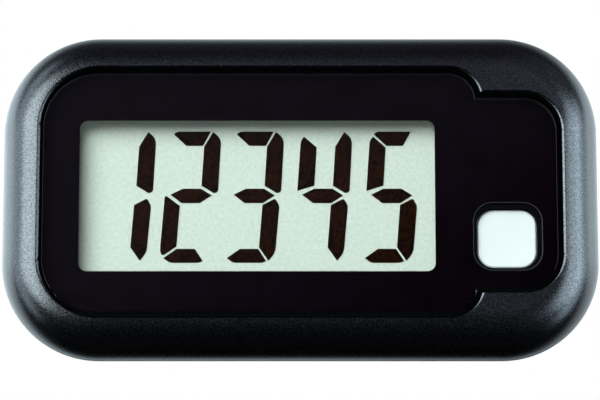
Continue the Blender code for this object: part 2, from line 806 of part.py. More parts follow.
def make_display():
    """Make the display's stack of glass and film, its tray and its connector."""
    centre = (window_x, window_y)
    film_half_x = window_half_x + polariser_margin
    film_half_y = window_half_y + polariser_margin
    film = rounded_rectangle(film_half_x, film_half_y, window_corner_radius)
    front_film = slab("lcd_front_polariser", [film], polariser_low_z,
                      polariser_high_z, centre)
    paint(front_film, clear, 0.1, alpha=0.35)
    front_glass = block("lcd_front_glass", (glass_half_x * 2, glass_half_y * 2, glass_thickness),
                        (*centre, (front_glass_low_z + front_glass_high_z) / 2))
    paint(front_glass, clear, 0.02, alpha=0.35)
    rear_width_y = glass_half_y * 2 - glass_ledge
    rear_centre = (window_x, window_y - glass_ledge / 2)
    crystal = block("lcd_crystal_layer", (glass_half_x * 2, rear_width_y, crystal_thickness),
                    (*rear_centre, (crystal_low_z + crystal_high_z) / 2))
    join(crystal, slab("lcd_bars", digit_bars(), crystal_high_z - crystal_thickness / 2,
                       crystal_high_z + segment_relief, centre, cutters))
    paint(crystal, pale_green, 0.5)
    rear_glass = block("lcd_rear_glass", (glass_half_x * 2, rear_width_y, glass_thickness),
                       (*rear_centre, (rear_glass_low_z + rear_glass_high_z) / 2))
    paint(rear_glass, clear, 0.02, alpha=0.35)
    reflector = block("lcd_reflector", (glass_half_x * 2, rear_width_y, reflector_thickness),
                      (*rear_centre, reflector_low_z + reflector_thickness / 2))
    paint(reflector, tin, 0.25, 1.0)
    make_tray_and_connector(centre)


def make_tray_and_connector(centre):
    """Make the tray under the display and the elastomer strip that feeds its glass."""
    pocket_x = glass_half_x + tray_gap
    pocket_y = glass_half_y + tray_gap
    tray = slab("lcd_tray", [rounded_rectangle(pocket_x + tray_wall, pocket_y + tray_wall,
                                               tray_corner_radius)],
                tray_low_z, tray_high_z, centre)
    cut(tray, block("tray_pocket", (pocket_x * 2, pocket_y * 2, tray_high_z - tray_floor_z
                                    + overrun),
                    (*centre, (tray_floor_z + tray_high_z + overrun) / 2), collection=cutters))
    strip_y = window_y + glass_half_y - glass_ledge / 2
    strip_low_z = board_high_z + film_gap
    strip_high_z = front_glass_low_z - film_gap
    strip_size = (connector_length, connector_width, strip_high_z - strip_low_z)
    strip_centre = (window_x, strip_y, (strip_low_z + strip_high_z) / 2)
    slot_size = [side + film_gap * 2 for side in strip_size]
    cut(tray, block("connector_slot", slot_size, strip_centre, collection=cutters))
    paint(tray, nylon, 0.6)
    strip = block("zebra_connector", strip_size, strip_centre)
    paint(strip, elastomer_grey, 0.7)


def make_board():
    """Make the circuit board and the parts soldered under it."""
    outline = rounded_rectangle(board_half_x, board_half_y, board_corner_radius)
    holes = [[(x + place[0], y + place[1])
              for x, y in circle(board_screw_radius + case_screw_hole_gap, 16)]
             for place in board_post_places()]
    board = slab("circuit_board", [outline, *holes], board_low_z, board_high_z)
    paint(board, board_green, 0.4)
    chip_high_z = board_low_z - film_gap
    chips = [
        ("processor_chip", processor_width, processor_height, processor_x, processor_y),
        ("motion_sensor", sensor_width, sensor_height, sensor_x, sensor_y),
    ]
    for name, width, height, x, y in chips:
        chip = block(name, (width, width, height), (x, y, chip_high_z - height / 2),
                     chip_corner_radius)
        paint(chip, chip_black, 0.5)
    can = turned("clock_crystal", [
        (0.0, crystal_can_length / 2),
        (crystal_can_radius, crystal_can_length / 2),
        (crystal_can_radius, -crystal_can_length / 2),
        (0.0, -crystal_can_length / 2)],
        (crystal_can_x, crystal_can_y, chip_high_z - crystal_can_radius), steps=16)
    can.rotation_euler = (0.0, math.pi / 2, 0.0)
    paint(can, steel, 0.3, 1.0)
    rows = [
        ("capacitor", capacitor_x, capacitor_height, ceramic_tan),
        ("resistor", resistor_x, resistor_height, chip_black),
    ]
    for kind, x, height, colour in rows:
        for number in range(chip_part_count):
            y = chip_part_first_y - chip_part_pitch * number
            part = block(f"{kind}_{number + 1}", (chip_part_length, chip_part_width, height),
                         (x, y, chip_high_z - height / 2))
            paint(part, colour, 0.5)
    for number, place in enumerate(board_post_places(), 1):
        head_low_z = board_low_z - film_gap - board_screw_head_height
        make_screw(f"board_screw_{number}", place, head_low_z, board_screw_head_height,
                   board_screw_head_radius, board_screw_radius,
                   board_low_z + board_screw_length - fit_gap)


def make_coin_cell():
    """Make the coin cell: can, gasket, cap and electrode pellet, positive side down."""
    place = (cell_x, 0.0, 0.0)
    rim_z = cell_high_z - cell_rim_drop
    inner_radius = cell_radius - cell_wall
    can = turned("battery_can", [
        (0.0, cell_low_z + cell_wall), (inner_radius, cell_low_z + cell_wall),
        (inner_radius, rim_z), (cell_radius, rim_z), (cell_radius, cell_low_z),
        (0.0, cell_low_z)], place, steps=round_steps * 2)
    paint(can, steel, 0.3, 1.0)
    gasket_outer = inner_radius - gasket_gap
    gasket_inner = gasket_outer - gasket_thickness
    gasket_low_z = cell_low_z + cell_wall + gasket_gap
    gasket = turned("battery_gasket", [
        (gasket_inner, rim_z), (gasket_outer, rim_z), (gasket_outer, gasket_low_z),
        (gasket_inner, gasket_low_z)], place, closed=True)
    paint(gasket, nylon, 0.6)
    cap_radius = gasket_inner - gasket_gap
    cap_inner = cap_radius - cell_wall
    cap_low_z = gasket_low_z + cell_wall
    cap = turned("battery_cap", [
        (0.0, cell_high_z), (cap_radius, cell_high_z), (cap_radius, cap_low_z),
        (cap_inner, cap_low_z), (cap_inner, cell_high_z - cell_wall),
        (0.0, cell_high_z - cell_wall)], place)
    paint(cap, steel, 0.25, 1.0)
    pellet = rod("battery_pellet", cap_inner - pellet_gap, gasket_low_z,
                 cell_high_z - cell_wall - pellet_gap, (cell_x, 0.0), collection=parts)
    smooth(pellet)
    paint(pellet, chip_black, 0.9)


def make_contacts():
    """Make the two battery contacts that hang from the board."""
    foot_z = board_low_z - film_gap - contact_thickness / 2
    leg_x = -(cell_radius + fit_gap + contact_thickness / 2)
    side_contact = bent_strip("battery_contact_positive", [
        (leg_x - contact_foot, 0.0), (leg_x, 0.0), (leg_x, -contact_leg)],
        contact_width, contact_thickness, (cell_x, 0.0, foot_z))
    paint(side_contact, spring_gold, 0.3, 1.0)
    foot_start = well_outer_radius + leaf_foot
    leaf = bent_strip("battery_contact_negative", [
        (foot_start, 0.0), (well_outer_radius, 0.0), (leaf_pad, -contact_dip),
        (-leaf_pad, -contact_dip)],
        contact_width, contact_thickness, (cell_x, 0.0, foot_z))
    paint(leaf, spring_gold, 0.3, 1.0)


def make_cover():
    """Make the battery cover with its captive screw and retaining washer."""
    cover = slab("battery_cover", [cover_outline(cover_gap)], cover_low_z, cover_high_z,
                 (cell_x, 0.0))
    place = (cover_screw_x, 0.0)
    head_low_z = cover_low_z + cover_head_drop
    cut(cover, rod("cover_head_bore", cover_screw_head_radius + cover_gap,
                   cover_low_z - overrun, head_low_z + cover_screw_head_height + film_gap, place))
    cut(cover, rod("cover_shank_bore", cover_screw_radius + running_gap, cover_low_z - overrun,
                   cover_high_z + overrun, place))
    paint(cover, satin_black, 0.5)
    make_screw("cover_screw", place, head_low_z, cover_screw_head_height,
               cover_screw_head_radius, cover_screw_radius, ledge_low_z + cover_screw_depth)
    washer_low_z = cover_high_z + film_gap
    washer = turned("cover_screw_washer", [
        (cover_screw_radius + running_gap, washer_low_z + washer_thickness),
        (washer_radius, washer_low_z + washer_thickness),
        (washer_radius, washer_low_z),
        (cover_screw_radius + running_gap, washer_low_z)], (*place, 0.0), closed=True, steps=16)
    paint(washer, nylon, 0.6)


def make_case_screws():
    """Make the four screws that hold the case halves together."""
    for number, place in enumerate(post_places(), 1):
        make_screw(f"case_screw_{number}", place, case_screw_head_low_z, case_screw_head_height,
                   case_screw_head_radius, case_screw_radius, case_screw_tip_z)


make_front_case()
make_back_case()
make_window()
make_button()
make_switch()
make_display()
make_board()
make_coin_cell()
make_contacts()
make_cover()
make_case_screws()
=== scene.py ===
"""The looks of a pocket pedometer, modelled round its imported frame. Lengths are in metres."""

import math

import bmesh
import bpy
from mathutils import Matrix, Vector


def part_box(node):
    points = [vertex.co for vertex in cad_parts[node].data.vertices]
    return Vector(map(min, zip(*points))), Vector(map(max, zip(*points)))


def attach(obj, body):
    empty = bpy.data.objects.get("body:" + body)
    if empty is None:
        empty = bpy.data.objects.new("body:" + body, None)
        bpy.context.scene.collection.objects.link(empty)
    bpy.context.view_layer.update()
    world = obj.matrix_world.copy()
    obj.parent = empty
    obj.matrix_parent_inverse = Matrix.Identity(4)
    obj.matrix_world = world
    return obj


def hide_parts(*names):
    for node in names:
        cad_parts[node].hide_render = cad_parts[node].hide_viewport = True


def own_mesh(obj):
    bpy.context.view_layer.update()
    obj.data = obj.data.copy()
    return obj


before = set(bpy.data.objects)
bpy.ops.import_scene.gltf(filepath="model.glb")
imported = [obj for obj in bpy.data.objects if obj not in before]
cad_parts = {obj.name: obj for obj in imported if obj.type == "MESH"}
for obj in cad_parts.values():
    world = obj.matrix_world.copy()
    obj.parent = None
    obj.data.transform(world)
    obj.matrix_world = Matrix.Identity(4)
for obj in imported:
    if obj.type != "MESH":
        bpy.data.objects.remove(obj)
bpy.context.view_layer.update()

MM = 0.001

# Sizes read from the frame
case_low, case_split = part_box("back_case")
front_low, case_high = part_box("front_case")
lens_low, lens_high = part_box("window_lens")
mask_low, mask_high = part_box("window_mask")
cell_face_low, cell_face_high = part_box("lcd_crystal_layer")
rear_glass_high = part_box("lcd_rear_glass")[1]
button_low, button_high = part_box("mode_button")
cover_low, cover_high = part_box("battery_cover")
board_low, board_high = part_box("circuit_board")
can_low, can_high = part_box("battery_can")

half_x = case_high.x
half_y = case_high.y
top_z = case_high.z
split_z = case_split.z
button_x = (button_low.x + button_high.x) / 2
button_y = (button_low.y + button_high.y) / 2
cell_x = (can_low.x + can_high.x) / 2

# Case
corner_radius = 10.3 * MM
recess_radius = 6.35 * MM
side_wall = 1.3 * MM
recess_left = -27.4 * MM
recess_right = 27.54 * MM
recess_low = -13.51 * MM
recess_high = 13.35 * MM
crown_width = 4.4 * MM
crown_height = 4.8 * MM
rim_edge = 0.3 * MM
rim_edge_narrow = 0.1 * MM
rim_drop = 0.03 * MM
parting_edge = 0.07 * MM
back_width = 4.6 * MM
back_height = split_z
back_floor = 1.0 * MM
lip_height = split_z - front_low.z
lip_inset = 0.8 * MM
rebate_inset = 0.65 * MM
rebate_drop = 1.15 * MM
deck_z = 8.75 * MM
deck_low_z = 7.85 * MM
overrun = 1.0 * MM
fit_margin = 0.01 * MM
embed = 0.4 * MM

# Window
shoulder_x = 19.08 * MM
shoulder_radius = 3.5 * MM
bay_step = 2.67 * MM
bay_radius = 4.1 * MM
lens_left = -27.14 * MM
lens_right = 27.01 * MM
lens_inset = 0.62 * MM
lens_edge = 0.08 * MM
print_inset = 0.1 * MM
lens_hole_half = 3.57 * MM
lens_hole_radius = 2.0 * MM
hole_zone = lens_hole_half * 1.5  # faces of the lens nearer to the button than this are the hole's
lens_end_x = 25.0 * MM  # faces of the lens further out than this are at its ends
lens_end_turn = 0.34
lens_wall_rise = 0.3  # a face of the lens whose normal rises less than this is a wall
lens_slope_rise = 0.97  # and one whose normal rises less than this is a slope
mask_hole_half = 3.66 * MM
case_hole_half = 3.2 * MM
case_hole_radius = 1.8 * MM
guide_half = 4.15 * MM
guide_wall = 0.6 * MM
guide_drop = 0.9 * MM
window_left = -23.33 * MM
window_right = 14.2 * MM
window_low = -8.265 * MM
window_high = 7.94 * MM
window_radius = 0.9 * MM
deck_opening_margin = 1.0 * MM

# Button
button_half = 3.1 * MM
button_radius = 1.7 * MM
button_edge = 0.24 * MM
button_seat = 0.8 * MM
flange_half = (button_high.x - button_low.x) / 2
flange_radius = 2.2 * MM
flange_height = 0.4 * MM
dome_strip = 0.1 * MM
dome_rings = 128

# Display
digit_slant = 0.0757
digit_lows = (-21.85 * MM, -14.94 * MM, -8.25 * MM, -1.0 * MM, 6.33 * MM)
digit_base = -7.02 * MM
digit_text = ("bc", "abged", "abgcd", "fgbc", "afgcd")
bar_height = 0.05 * MM
face_drop = 0.2 * MM
face_corner = 0.3 * MM
face_reach = 0.135 * MM  # how far the pale face passes its CAD edge, to lie under the print
# Each bar's outline, clockwise, in millimetres from the upright cell's lower left corner:
# a place, and how far back from it the corner starts to round.
bar_outlines = {
    "a": ((0.4, 13.91, 0.12), (0.84, 14.19, 0.12), (4.34, 14.19, 0.0), (3.63, 12.64, 0.0),
          (1.85, 12.64, 0.0)),
    "b": ((3.76, 12.54, 0.0), (4.59, 14.15, 0.0), (5.27, 13.6, 0.27), (5.51, 13.05, 0.27),
          (5.63, 7.7, 0.16), (5.22, 7.48, 0.16), (3.82, 8.3, 0.0)),
    "c": ((3.75, 1.65, 0.0), (3.76, 6.21, 0.0), (5.05, 6.92, 0.2), (5.57, 6.15, 0.3),
          (5.51, 1.12, 0.45), (4.87, 0.2, 0.1)),
    "d": ((0.43, 0.5, 0.0), (1.75, 1.49, 0.0), (3.67, 1.49, 0.0), (4.62, 0.18, 0.0),
          (4.2, 0.0, 0.2), (1.14, 0.0, 0.3)),
    "e": ((0.0, 1.2, 0.3), (0.02, 7.2, 0.18), (0.3, 7.14, 0.05), (1.7, 6.12, 0.0),
          (1.7, 1.74, 0.0), (0.3, 0.74, 0.2)),
    "f": ((0.08, 7.75, 0.0), (0.04, 13.14, 0.25), (0.35, 13.65, 0.1), (1.79, 12.47, 0.0),
          (1.85, 8.32, 0.0)),
    "g": ((0.61, 7.33, 0.0), (1.87, 7.98, 0.0), (3.8, 7.98, 0.0), (4.98, 7.26, 0.0),
          (3.8, 6.43, 0.0), (1.84, 6.43, 0.0)),
}

# Battery side
cover_tab_x = 8.2 * MM
cover_disc_radius = 11.95 * MM
cover_tab_radius = 3.4 * MM
cover_gap = 0.15 * MM
cover_edge = 0.1 * MM
cover_head_depth = 0.48 * MM
ledge_margin = 1.0 * MM
ledge_low_z = 1.0 * MM
ledge_high_z = 1.7 * MM
well_radius = 10.35 * MM
well_wall = 0.9 * MM
well_high_z = 4.3 * MM
boss_radius = 2.4 * MM
cover_bore = 0.78 * MM
cover_bore_high_z = 3.6 * MM
washer_bore = 1.5 * MM
washer_bore_high_z = 1.5 * MM
slot_width = 4.6 * MM
grip_count = 5
grip_pitch = 1.0 * MM
grip_radius = 0.28 * MM
grip_length = 5.0 * MM
grip_x = -15.2 * MM
grip_end_share = 0.49
grip_round_share = 0.6

# Screws
post_radius = 1.5 * MM
board_post_radius = 1.4 * MM
back_post_radius = 1.9 * MM
back_post_high_z = 4.6 * MM
head_bore = 1.3 * MM
shank_bore = 0.65 * MM
pilot_gap = 0.08 * MM
screw_edge = 0.15 * MM
case_shank_radius = 0.55 * MM
case_head_height = 0.9 * MM
cover_shank_radius = 0.7 * MM
cover_head_height = 0.38 * MM
cross_reach_share = 0.62
cross_width_share = 0.24
cross_depth_share = 0.6
thread_pitch = 0.4 * MM
thread_share = 0.82

# Roundness
corner_segments = 28
crown_segments = 20
small_segments = 10
cap_segments = 6
head_segments = 5
grip_segments = 4
face_segments = 3
edge_segments = 2
round_sides = 64
small_sides = 32
smooth_angle = math.radians(32.0)
flat_angle = math.radians(0.5)
flare_share = 0.98  # a flare stops just short of the face that it runs to

# Tests on edges and faces
same_place = 0.001 * MM
level_digits = 7
upright_share = 0.9  # an edge that rises by more than this share of its length stands upright
wall_rise = 0.1  # a face whose normal rises less than this is a wall
border_share = 0.9  # edges further out than this share of the case lie on its border


# Colour and shader nodes

def linear(code):
    """Turn an sRGB hex colour into linear light."""
    values = [int(code[start:start + 2], 16) / 255.0 for start in (0, 2, 4)]
    light = [value / 12.92 if value <= 0.04045 else ((value + 0.055) / 1.055) ** 2.4
             for value in values]
    return (*light, 1.0)


def add_node(tree, kind, settings, links=()):
    """Add a node, set its own values or sockets, and link other nodes' sockets into it."""
    node = tree.nodes.new(kind)
    for name, value in settings.items():
        if isinstance(name, int) or name in node.inputs:
            node.inputs[name].default_value = value
        else:
            setattr(node, name, value)
    for name, source in dict(links).items():
        tree.links.new(source, node.inputs[name])
    return node


def new_material(name):
    """Return a new material's node tree with its Principled shader, and the object's own place."""
    material = bpy.data.materials.new(name)
    material.use_nodes = True
    tree = material.node_tree
    place = add_node(tree, "ShaderNodeTexCoord", {}).outputs["Object"]
    return material, tree, tree.nodes["Principled BSDF"], place


mottle_share = 8  # how much coarser than its grain a finish's colour mottles, if not given
band_factor = 20.0  # the wave texture multiplies a place by this before it draws its bands


def per_grain(size):
    """Return the scale of a noise whose grains are about this size across."""
    return 1.0 / size


def grain_finish(name, dark, light, grain, relief, roughness, spread, metallic=0.0, ior=1.5,
                 colour_grain=None, pit_shade=0.0):
    """Make an opaque finish: a fine grain that mottles its colour, gloss and surface."""
    material, tree, shader, place = new_material(name)
    fine = add_node(tree, "ShaderNodeTexNoise", {"Scale": per_grain(grain), "Detail": 3.0,
                                                 "Roughness": 0.6}, {"Vector": place})
    broad = add_node(tree, "ShaderNodeTexNoise", {
        "Scale": per_grain(colour_grain or grain * mottle_share), "Detail": 2.0}, {"Vector": place})
    speckle = add_node(tree, "ShaderNodeMapRange", {"From Min": 0.35, "From Max": 0.65},
                       {"Value": broad.outputs["Fac"]})
    tint = add_node(tree, "ShaderNodeMix", {"data_type": "RGBA", 6: linear(dark),
                                            7: linear(light)}, {0: speckle.outputs["Result"]})
    gloss = add_node(tree, "ShaderNodeMapRange", {"To Min": roughness - spread,
                                                  "To Max": roughness + spread},
                     {"Value": speckle.outputs["Result"]})
    bump = add_node(tree, "ShaderNodeBump", {"Strength": 1.0, "Distance": relief},
                    {"Height": fine.outputs["Fac"]})
    if pit_shade:
        pits = add_node(tree, "ShaderNodeMapRange", {
            "From Min": 0.38, "From Max": 0.62, "To Min": 1.0 - pit_shade},
            {"Value": fine.outputs["Fac"]})
        tree.links.new(pits.outputs["Result"], shader.inputs["Specular Tint"])
    tree.links.new(tint.outputs[2], shader.inputs["Base Color"])
    tree.links.new(gloss.outputs["Result"], shader.inputs["Roughness"])
    tree.links.new(bump.outputs["Normal"], shader.inputs["Normal"])
    shader.inputs["Metallic"].default_value = metallic
    if metallic == 0.0:
        shader.inputs["IOR"].default_value = ior
    return material


def clear_sheet(name, tint, ior, roughness, ripple, relief):
    """Make a see-through sheet: it lets light straight through and mirrors by its Fresnel."""
    material, tree, shader, place = new_material(name)
    tree.nodes.remove(shader)
    wave = add_node(tree, "ShaderNodeTexNoise", {"Scale": per_grain(ripple), "Detail": 1.0},
                    {"Vector": place})
    bump = add_node(tree, "ShaderNodeBump", {"Strength": 0.5, "Distance": relief},
                    {"Height": wave.outputs["Fac"]})
    through = add_node(tree, "ShaderNodeBsdfTransparent", {"Color": linear(tint)})
    mirror = add_node(tree, "ShaderNodeBsdfAnisotropic", {"Roughness": roughness},
                      {"Normal": bump.outputs["Normal"]})
    share = add_node(tree, "ShaderNodeFresnel", {"IOR": ior}, {"Normal": bump.outputs["Normal"]})
    side = add_node(tree, "ShaderNodeNewGeometry", {})
    front = add_node(tree, "ShaderNodeMath", {"operation": "SUBTRACT", 0: 1.0},
                     {1: side.outputs["Backfacing"]})
    outer = add_node(tree, "ShaderNodeMath", {"operation": "MULTIPLY"},
                     {0: share.outputs["Fac"], 1: front.outputs["Value"]})
    sheet = add_node(tree, "ShaderNodeMixShader", {}, {
        0: outer.outputs["Value"], 1: through.outputs["BSDF"], 2: mirror.outputs["BSDF"]})
    tree.links.new(sheet.outputs["Shader"], tree.nodes["Material Output"].inputs["Surface"])
    return material


# Materials
# The grain of the moulded, plated and rolled surfaces is really 0.02 to 0.1 mm across. It is drawn
# at 0.1 to 0.5 mm so that it shows. Waves in clear sheets and polish are at their real size.

# Injection-moulded ABS against a finely spark-eroded tool: satin black with a cool sheen and a
# sparkling grain, whose pits send less light back than what stands between them.
eroded_abs = grain_finish("spark_eroded_black_ABS", "000001", "06050a", 0.17 * MM, 0.013 * MM,
                          0.26, 0.05, colour_grain=0.15 * MM, pit_shade=0.5)
# Painted shade for the sunken part of the same moulding: a near-black, matt finish with a weak
# mirror, so that the deck and the deep gap round the lens read black; it sends almost nothing back.
recess_painted_shade = grain_finish("black_ABS_painted_recess_shade", "000000", "020203", 0.2 * MM, 0.01 * MM,
                          0.8, 0.05, ior=1.1)
# The same ABS on the back, a little more matt.
back_abs = grain_finish("matt_black_ABS", "0b0c0f", "14161a", 0.2 * MM, 0.014 * MM, 0.46, 0.04)
# Cast acrylic, polished: clear, with a sharp faint mirror and a very slight waviness.
cast_acrylic = clear_sheet("polished_clear_acrylic", "fefefe", 1.49, 0.015, 4.0 * MM,
                           0.001 * MM)
# Screen ink printed on the back of the lens: an even black with a trace of violet.
# The acrylic wets it, so almost nothing mirrors where the two meet.
screen_ink = grain_finish("black_screen_ink", "030002", "060106", 0.3 * MM, 0.002 * MM, 0.5,
                          0.03, ior=1.05)
# Polished ABS, moulded white: bright and even, with soft broad highlights.
white_abs = grain_finish("polished_white_ABS", "e1f1ed", "e6f5f1", 1.5 * MM, 0.004 * MM, 0.32,
                         0.02)
# Reflective liquid crystal, off: a pale green-grey with the fine grain of its reflector.
crystal_off = grain_finish("clear_liquid_crystal_cell", "d8ede1", "e4f8ec", 0.12 * MM,
                           0.002 * MM, 0.55, 0.03, ior=1.05, colour_grain=0.35 * MM)
# The same cell, on: near black with the reflector's grain glinting brown through it.
crystal_on = grain_finish("dark_liquid_crystal_segment", "000000", "281200", 0.15 * MM,
                          0.002 * MM, 0.5, 0.05, ior=1.05, colour_grain=0.3 * MM)
# Painted glint on the lens's edges: an opaque dull grey, in place of clear acrylic, that stands in
# for the faint line of light along the polished bevel; the narrow gap round it keeps it dark.
lens_painted_glint_grey = grain_finish("acrylic_painted_glint_grey", "27272b", "2d2d31", 0.3 * MM, 0.002 * MM, 0.6,
                            0.03, ior=1.2)
# Iodine polarising film, coated against glare: clear, and it barely mirrors.
polarising_film = clear_sheet("polarising_film", "fdfdfc", 1.2, 0.05, 3.0 * MM, 0.001 * MM)
# Float glass glued to the film: the glue takes its mirror away.
float_glass = clear_sheet("thin_float_glass", "fefefe", 1.05, 0.01, 6.0 * MM, 0.0005 * MM)
# Aluminised foil behind the rear glass: bright, with a brushed satin grain.
foil = grain_finish("aluminised_foil", "b9bcba", "cfd2d0", 0.15 * MM, 0.004 * MM, 0.3, 0.06,
                    metallic=1.0)
# Natural nylon 66, moulded: a warm translucent white.
nylon = grain_finish("natural_nylon", "d9d6cc", "e4e1d8", 0.5 * MM, 0.006 * MM, 0.45, 0.05)
# Glass-epoxy laminate under green solder resist: a glossy green over a woven base.
laminate = grain_finish("green_solder_resist", "0b4a26", "17683a", 0.35 * MM, 0.006 * MM, 0.3,
                        0.06, colour_grain=0.5 * MM)
# Transfer-moulded epoxy of chips and resistors: fine matt black.
epoxy = grain_finish("moulded_black_epoxy", "17181a", "222325", 0.1 * MM, 0.008 * MM, 0.6, 0.05)
# Fired ceramic of the capacitors: matt tan.
ceramic = grain_finish("fired_capacitor_ceramic", "8f7156", "a8886a", 0.12 * MM, 0.006 * MM,
                       0.55, 0.06)
# Tin plate over brass and steel sheet: soft grey metal.
tin_plate = grain_finish("tin_plated_sheet", "b4b2ab", "cdcbc4", 0.3 * MM, 0.004 * MM, 0.32,
                         0.06, metallic=1.0)
# Stainless spring strip of the snap dome: bright rolled metal.
spring_strip = grain_finish("rolled_stainless_strip", "b5b5b3", "d0d0ce", 0.2 * MM, 0.003 * MM,
                            0.24, 0.05, metallic=1.0)
# Nickel-plated steel of the coin cell: satin, slightly warm.
nickel_plate = grain_finish("nickel_plated_steel", "b8b5ad", "d2cfc8", 0.25 * MM, 0.004 * MM,
                            0.27, 0.05, metallic=1.0, colour_grain=3.0 * MM)
# Gold flash over phosphor bronze: yellow satin metal.
gold_flash = grain_finish("gold_flashed_bronze", "d3a553", "e6be72", 0.3 * MM, 0.003 * MM,
                          0.26, 0.05, metallic=1.0)
# Zinc plate with clear passivation: pale grey metal with a blue cast.
zinc_plate = grain_finish("zinc_plated_steel", "a9adb2", "c6cace", 0.2 * MM, 0.005 * MM, 0.33,
                          0.07, metallic=1.0)


def striped_rubber():
    """Make layered silicone: thin black carbon layers between pale insulating ones."""
    material, tree, shader, place = new_material("zebra_striped_silicone")
    layer_pitch = 0.36 * MM  # real layers are 0.1 mm apart, drawn coarser so that they show
    stripes = add_node(tree, "ShaderNodeTexWave", {
        "wave_type": "BANDS", "bands_direction": "X", "wave_profile": "SIN",
        "Scale": math.tau / (band_factor * layer_pitch), "Distortion": 0.0}, {"Vector": place})
    tint = add_node(tree, "ShaderNodeMix", {"data_type": "RGBA", 6: linear("232326"),
                                            7: linear("a9a9a4")}, {0: stripes.outputs["Fac"]})
    fine = add_node(tree, "ShaderNodeTexNoise", {"Scale": per_grain(0.2 * MM)},
                    {"Vector": place})
    bump = add_node(tree, "ShaderNodeBump", {"Strength": 0.6, "Distance": 0.005 * MM},
                    {"Height": fine.outputs["Fac"]})
    tree.links.new(tint.outputs[2], shader.inputs["Base Color"])
    tree.links.new(bump.outputs["Normal"], shader.inputs["Normal"])
    shader.inputs["Roughness"].default_value = 0.65
    return material


zebra_rubber = striped_rubber()


# Modelling

def choose(piece):
    """Select one piece and nothing else."""
    bpy.ops.object.select_all(action="DESELECT")
    piece.select_set(True)
    bpy.context.view_layer.objects.active = piece


def named(name):
    """Name the piece that was just added and settle its place into its mesh."""
    piece = bpy.context.active_object
    piece.name = name
    piece.data.name = name
    bpy.ops.object.transform_apply(location=True, rotation=True, scale=True)
    return piece


def block(name, low, high):
    """Add a block between two corners."""
    bpy.ops.object.select_all(action="DESELECT")
    centre = (Vector(low) + Vector(high)) / 2
    bpy.ops.mesh.primitive_cube_add(size=1.0, location=centre, scale=Vector(high) - Vector(low))
    return named(name)


def rod(name, radius, low_z, high_z, x, y, sides=small_sides):
    """Add an upright rod between two heights."""
    bpy.ops.object.select_all(action="DESELECT")
    bpy.ops.mesh.primitive_cylinder_add(vertices=sides, radius=radius, depth=high_z - low_z,
                                        location=(x, y, (low_z + high_z) / 2))
    return named(name)


def in_edit_mode(piece, wanted, action):
    """Select the edges that pass a test, and run an operator on them."""
    choose(piece)
    bpy.ops.object.mode_set(mode="EDIT")
    bpy.ops.mesh.select_mode(type="EDGE")
    bpy.ops.mesh.select_all(action="DESELECT")
    shape = bmesh.from_edit_mesh(piece.data)
    for edge in shape.edges:
        if wanted(edge):
            edge.select_set(True)
    shape.select_flush_mode()
    bmesh.update_edit_mesh(piece.data)
    action()
    bpy.ops.object.mode_set(mode="OBJECT")


def bevel(piece, wanted, width, segments):
    """Round the edges that pass a test."""
    in_edit_mode(piece, wanted, lambda: bpy.ops.mesh.bevel(
        offset=width, offset_type="OFFSET", segments=segments, profile=0.5, affect="EDGES",
        clamp_overlap=False))


def slice_off(piece, place, outward):
    """Cut off and close the side of a piece that lies outward of a place."""
    in_edit_mode(piece, lambda edge: True, lambda: bpy.ops.mesh.bisect(
        plane_co=place, plane_no=outward, use_fill=True, clear_outer=True,
        threshold=same_place))


def upright(edge):
    """Tell whether an edge stands upright."""
    along = edge.verts[1].co - edge.verts[0].co
    return abs(along.z) > upright_share * along.length


def at_height(edge, z):
    """Tell whether both ends of an edge lie at a height."""
    return all(abs(vert.co.z - z) < same_place for vert in edge.verts)


def middle(edge):
    """Return the middle of an edge."""
    return (edge.verts[0].co + edge.verts[1].co) / 2


def beside_wall(edge):
    """Tell whether one of an edge's faces stands upright."""
    return any(abs(face.normal.z) < wall_rise for face in edge.link_faces)


def boolean(piece, tool, operation):
    """Apply a Boolean to a piece and remove the tool."""
    choose(piece)
    modifier = piece.modifiers.new("shape", "BOOLEAN")
    modifier.operation = operation
    modifier.object = tool
    modifier.solver = "EXACT"
    bpy.ops.object.modifier_apply(modifier=modifier.name)
    bpy.data.objects.remove(tool, do_unlink=True)


def cut(piece, tool):
    """Cut a tool's shape out of a piece."""
    boolean(piece, tool, "DIFFERENCE")


def fuse(piece, tool):
    """Join a tool's shape to a piece."""
    boolean(piece, tool, "UNION")


def finish(piece, body, material, slot, *nodes):
    """Shade a piece, give it its material, tie it to its body and hide the CAD nodes that it stands
    for. The slot is not used.
    """
    choose(piece)
    bpy.ops.object.shade_smooth_by_angle(angle=smooth_angle)
    weighted = piece.modifiers.new("flat_faces_first", "WEIGHTED_NORMAL")
    weighted.keep_sharp = True
    bpy.ops.object.modifier_apply(modifier=weighted.name)
    piece.data.materials.clear()
    piece.data.materials.append(material)
    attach(piece, body)
    if nodes:
        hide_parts(*nodes)


def round_block(name, reach_x, reach_y, radius, low_z, high_z, x=0.0, y=0.0,
                segments=small_segments):
    """Add a block with round upright corners, centred on a place."""
    piece = block(name, (x - reach_x, y - reach_y, low_z), (x + reach_x, y + reach_y, high_z))
    bevel(piece, upright, radius, segments)
    return piece


def case_form(name, inset, low_z, high_z):
    """Add a block with the case's plan, drawn in by inset."""
    return round_block(name, half_x - inset, half_y - inset, corner_radius - inset, low_z,
                       high_z, segments=corner_segments)


def domed_form(name, inset, low_z, high_z, width, height, edge_z):
    """Add a case form whose border at one height is an elliptical round."""
    piece = case_form(name, inset, low_z, high_z)
    squash = width / height
    piece.scale.z = squash
    bpy.ops.object.transform_apply(scale=True)
    bevel(piece, lambda edge: at_height(edge, edge_z * squash), width, crown_segments)
    piece.scale.z = 1.0 / squash
    choose(piece)
    bpy.ops.object.transform_apply(scale=True)
    return piece


